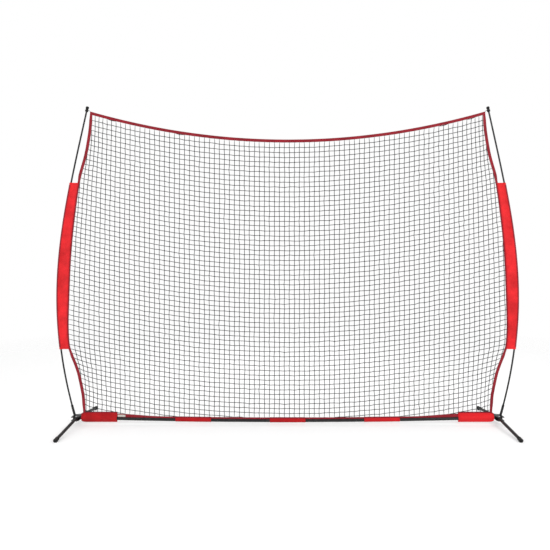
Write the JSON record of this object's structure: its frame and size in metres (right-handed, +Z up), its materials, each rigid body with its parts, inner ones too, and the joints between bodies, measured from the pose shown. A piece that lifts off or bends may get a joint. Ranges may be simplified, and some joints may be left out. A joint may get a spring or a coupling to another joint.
{
  "type": "pitching target net",
  "caption": "Bow-framed barrier net: bent poles in sockets on a sectional base bar with folding legs stretch a square-mesh net.",
  "frame": {"origin": "on the floor under the middle of the base bar, midway between the feet", "axes": "+X along the base bar to the right-hand pole, +Y from the front feet to the rear feet, +Z up"},
  "size_m": [3.9856, 0.9254, 2.7412],
  "materials": {
    "powder_black": "satin black powder coat on steel tube and plate",
    "zinc_steel": "zinc-plated steel",
    "pole_black": "dark pultruded glass fibre with a smooth coat",
    "rubber_black": "matt moulded rubber",
    "elastic_black": "braided elastic cord",
    "twine_black": "braided polyester net twine",
    "tape_crimson": "woven polyester binding tape",
    "cloth_red": "coated polyester cloth"
  },
  "bodies": {
    "frame": {"base_bar_left_outer": "powder_black", "base_bar_left_inner": "powder_black", "base_bar_right_inner": "powder_black", "base_bar_right_outer": "powder_black", "snap_spring_left": "zinc_steel", "snap_spring_middle": "zinc_steel", "snap_spring_right": "zinc_steel", "corner_bracket_left": "powder_black", "pole_socket_left": "powder_black", "pole_lower_left": "pole_black", "pole_middle_left": "pole_black", "pole_upper_left": "pole_black", "ferrule_lower_left": "zinc_steel", "ferrule_upper_left": "zinc_steel", "shock_cord_left": "elastic_black", "tip_cap_left": "rubber_black", "corner_loop_left": "elastic_black", "side_tape_left": "tape_crimson", "side_sleeve_left": "cloth_red", "hinge_bolt_left_front": "zinc_steel", "lock_nut_left_front": "zinc_steel", "hinge_bolt_left_rear": "zinc_steel", "lock_nut_left_rear": "zinc_steel", "corner_bracket_right": "powder_black", "pole_socket_right": "powder_black", "pole_lower_right": "pole_black", "pole_middle_right": "pole_black", "pole_upper_right": "pole_black", "ferrule_lower_right": "zinc_steel", "ferrule_upper_right": "zinc_steel", "shock_cord_right": "elastic_black", "tip_cap_right": "rubber_black", "corner_loop_right": "elastic_black", "side_tape_right": "tape_crimson", "side_sleeve_right": "cloth_red", "hinge_bolt_right_front": "zinc_steel", "lock_nut_right_front": "zinc_steel", "hinge_bolt_right_rear": "zinc_steel", "lock_nut_right_rear": "zinc_steel", "net": "twine_black", "top_tape": "tape_crimson", "bottom_tape": "tape_crimson", "base_sleeve_1": "cloth_red", "base_sleeve_2": "cloth_red", "base_sleeve_3": "cloth_red", "base_sleeve_4": "cloth_red", "base_sleeve_5": "cloth_red"},
    "snap_button_left": {"snap_button_left": "zinc_steel"},
    "snap_button_middle": {"snap_button_middle": "zinc_steel"},
    "snap_button_right": {"snap_button_right": "zinc_steel"},
    "leg_left_front": {"leg_left_front": "powder_black", "foot_cap_left_front": "rubber_black"},
    "leg_left_rear": {"leg_left_rear": "powder_black", "foot_cap_left_rear": "rubber_black"},
    "leg_right_front": {"leg_right_front": "powder_black", "foot_cap_right_front": "rubber_black"},
    "leg_right_rear": {"leg_right_rear": "powder_black", "foot_cap_right_rear": "rubber_black"}
  },
  "joints": [
    {"name": "leg_left_front_fold", "type": "hinge", "parent": "frame", "child": "leg_left_front", "pos_m": [-1.809, -0.034, 0.058], "axis": [0, 0, 1], "range_deg": [0, 90]},
    {"name": "leg_left_rear_fold", "type": "hinge", "parent": "frame", "child": "leg_left_rear", "pos_m": [-1.809, 0.034, 0.058], "axis": [0, 0, -1], "range_deg": [0, 90]},
    {"name": "leg_right_front_fold", "type": "hinge", "parent": "frame", "child": "leg_right_front", "pos_m": [1.809, -0.034, 0.058], "axis": [0, 0, -1], "range_deg": [0, 90]},
    {"name": "leg_right_rear_fold", "type": "hinge", "parent": "frame", "child": "leg_right_rear", "pos_m": [1.809, 0.034, 0.058], "axis": [0, 0, 1], "range_deg": [0, 90]},
    {"name": "snap_button_left_press", "type": "slide", "parent": "frame", "child": "snap_button_left", "axis": [0, -1, 0], "range_m": [0, 0.004], "stiffness_N_per_m": 2500, "springref_m": -0.002, "deforming": ["snap_spring_left"]},
    {"name": "snap_button_middle_press", "type": "slide", "parent": "frame", "child": "snap_button_middle", "axis": [0, -1, 0], "range_m": [0, 0.004], "stiffness_N_per_m": 2500, "springref_m": -0.002, "deforming": ["snap_spring_middle"]},
    {"name": "snap_button_right_press", "type": "slide", "parent": "frame", "child": "snap_button_right", "axis": [0, -1, 0], "range_m": [0, 0.004], "stiffness_N_per_m": 2500, "springref_m": -0.002, "deforming": ["snap_spring_right"]}
  ]
}
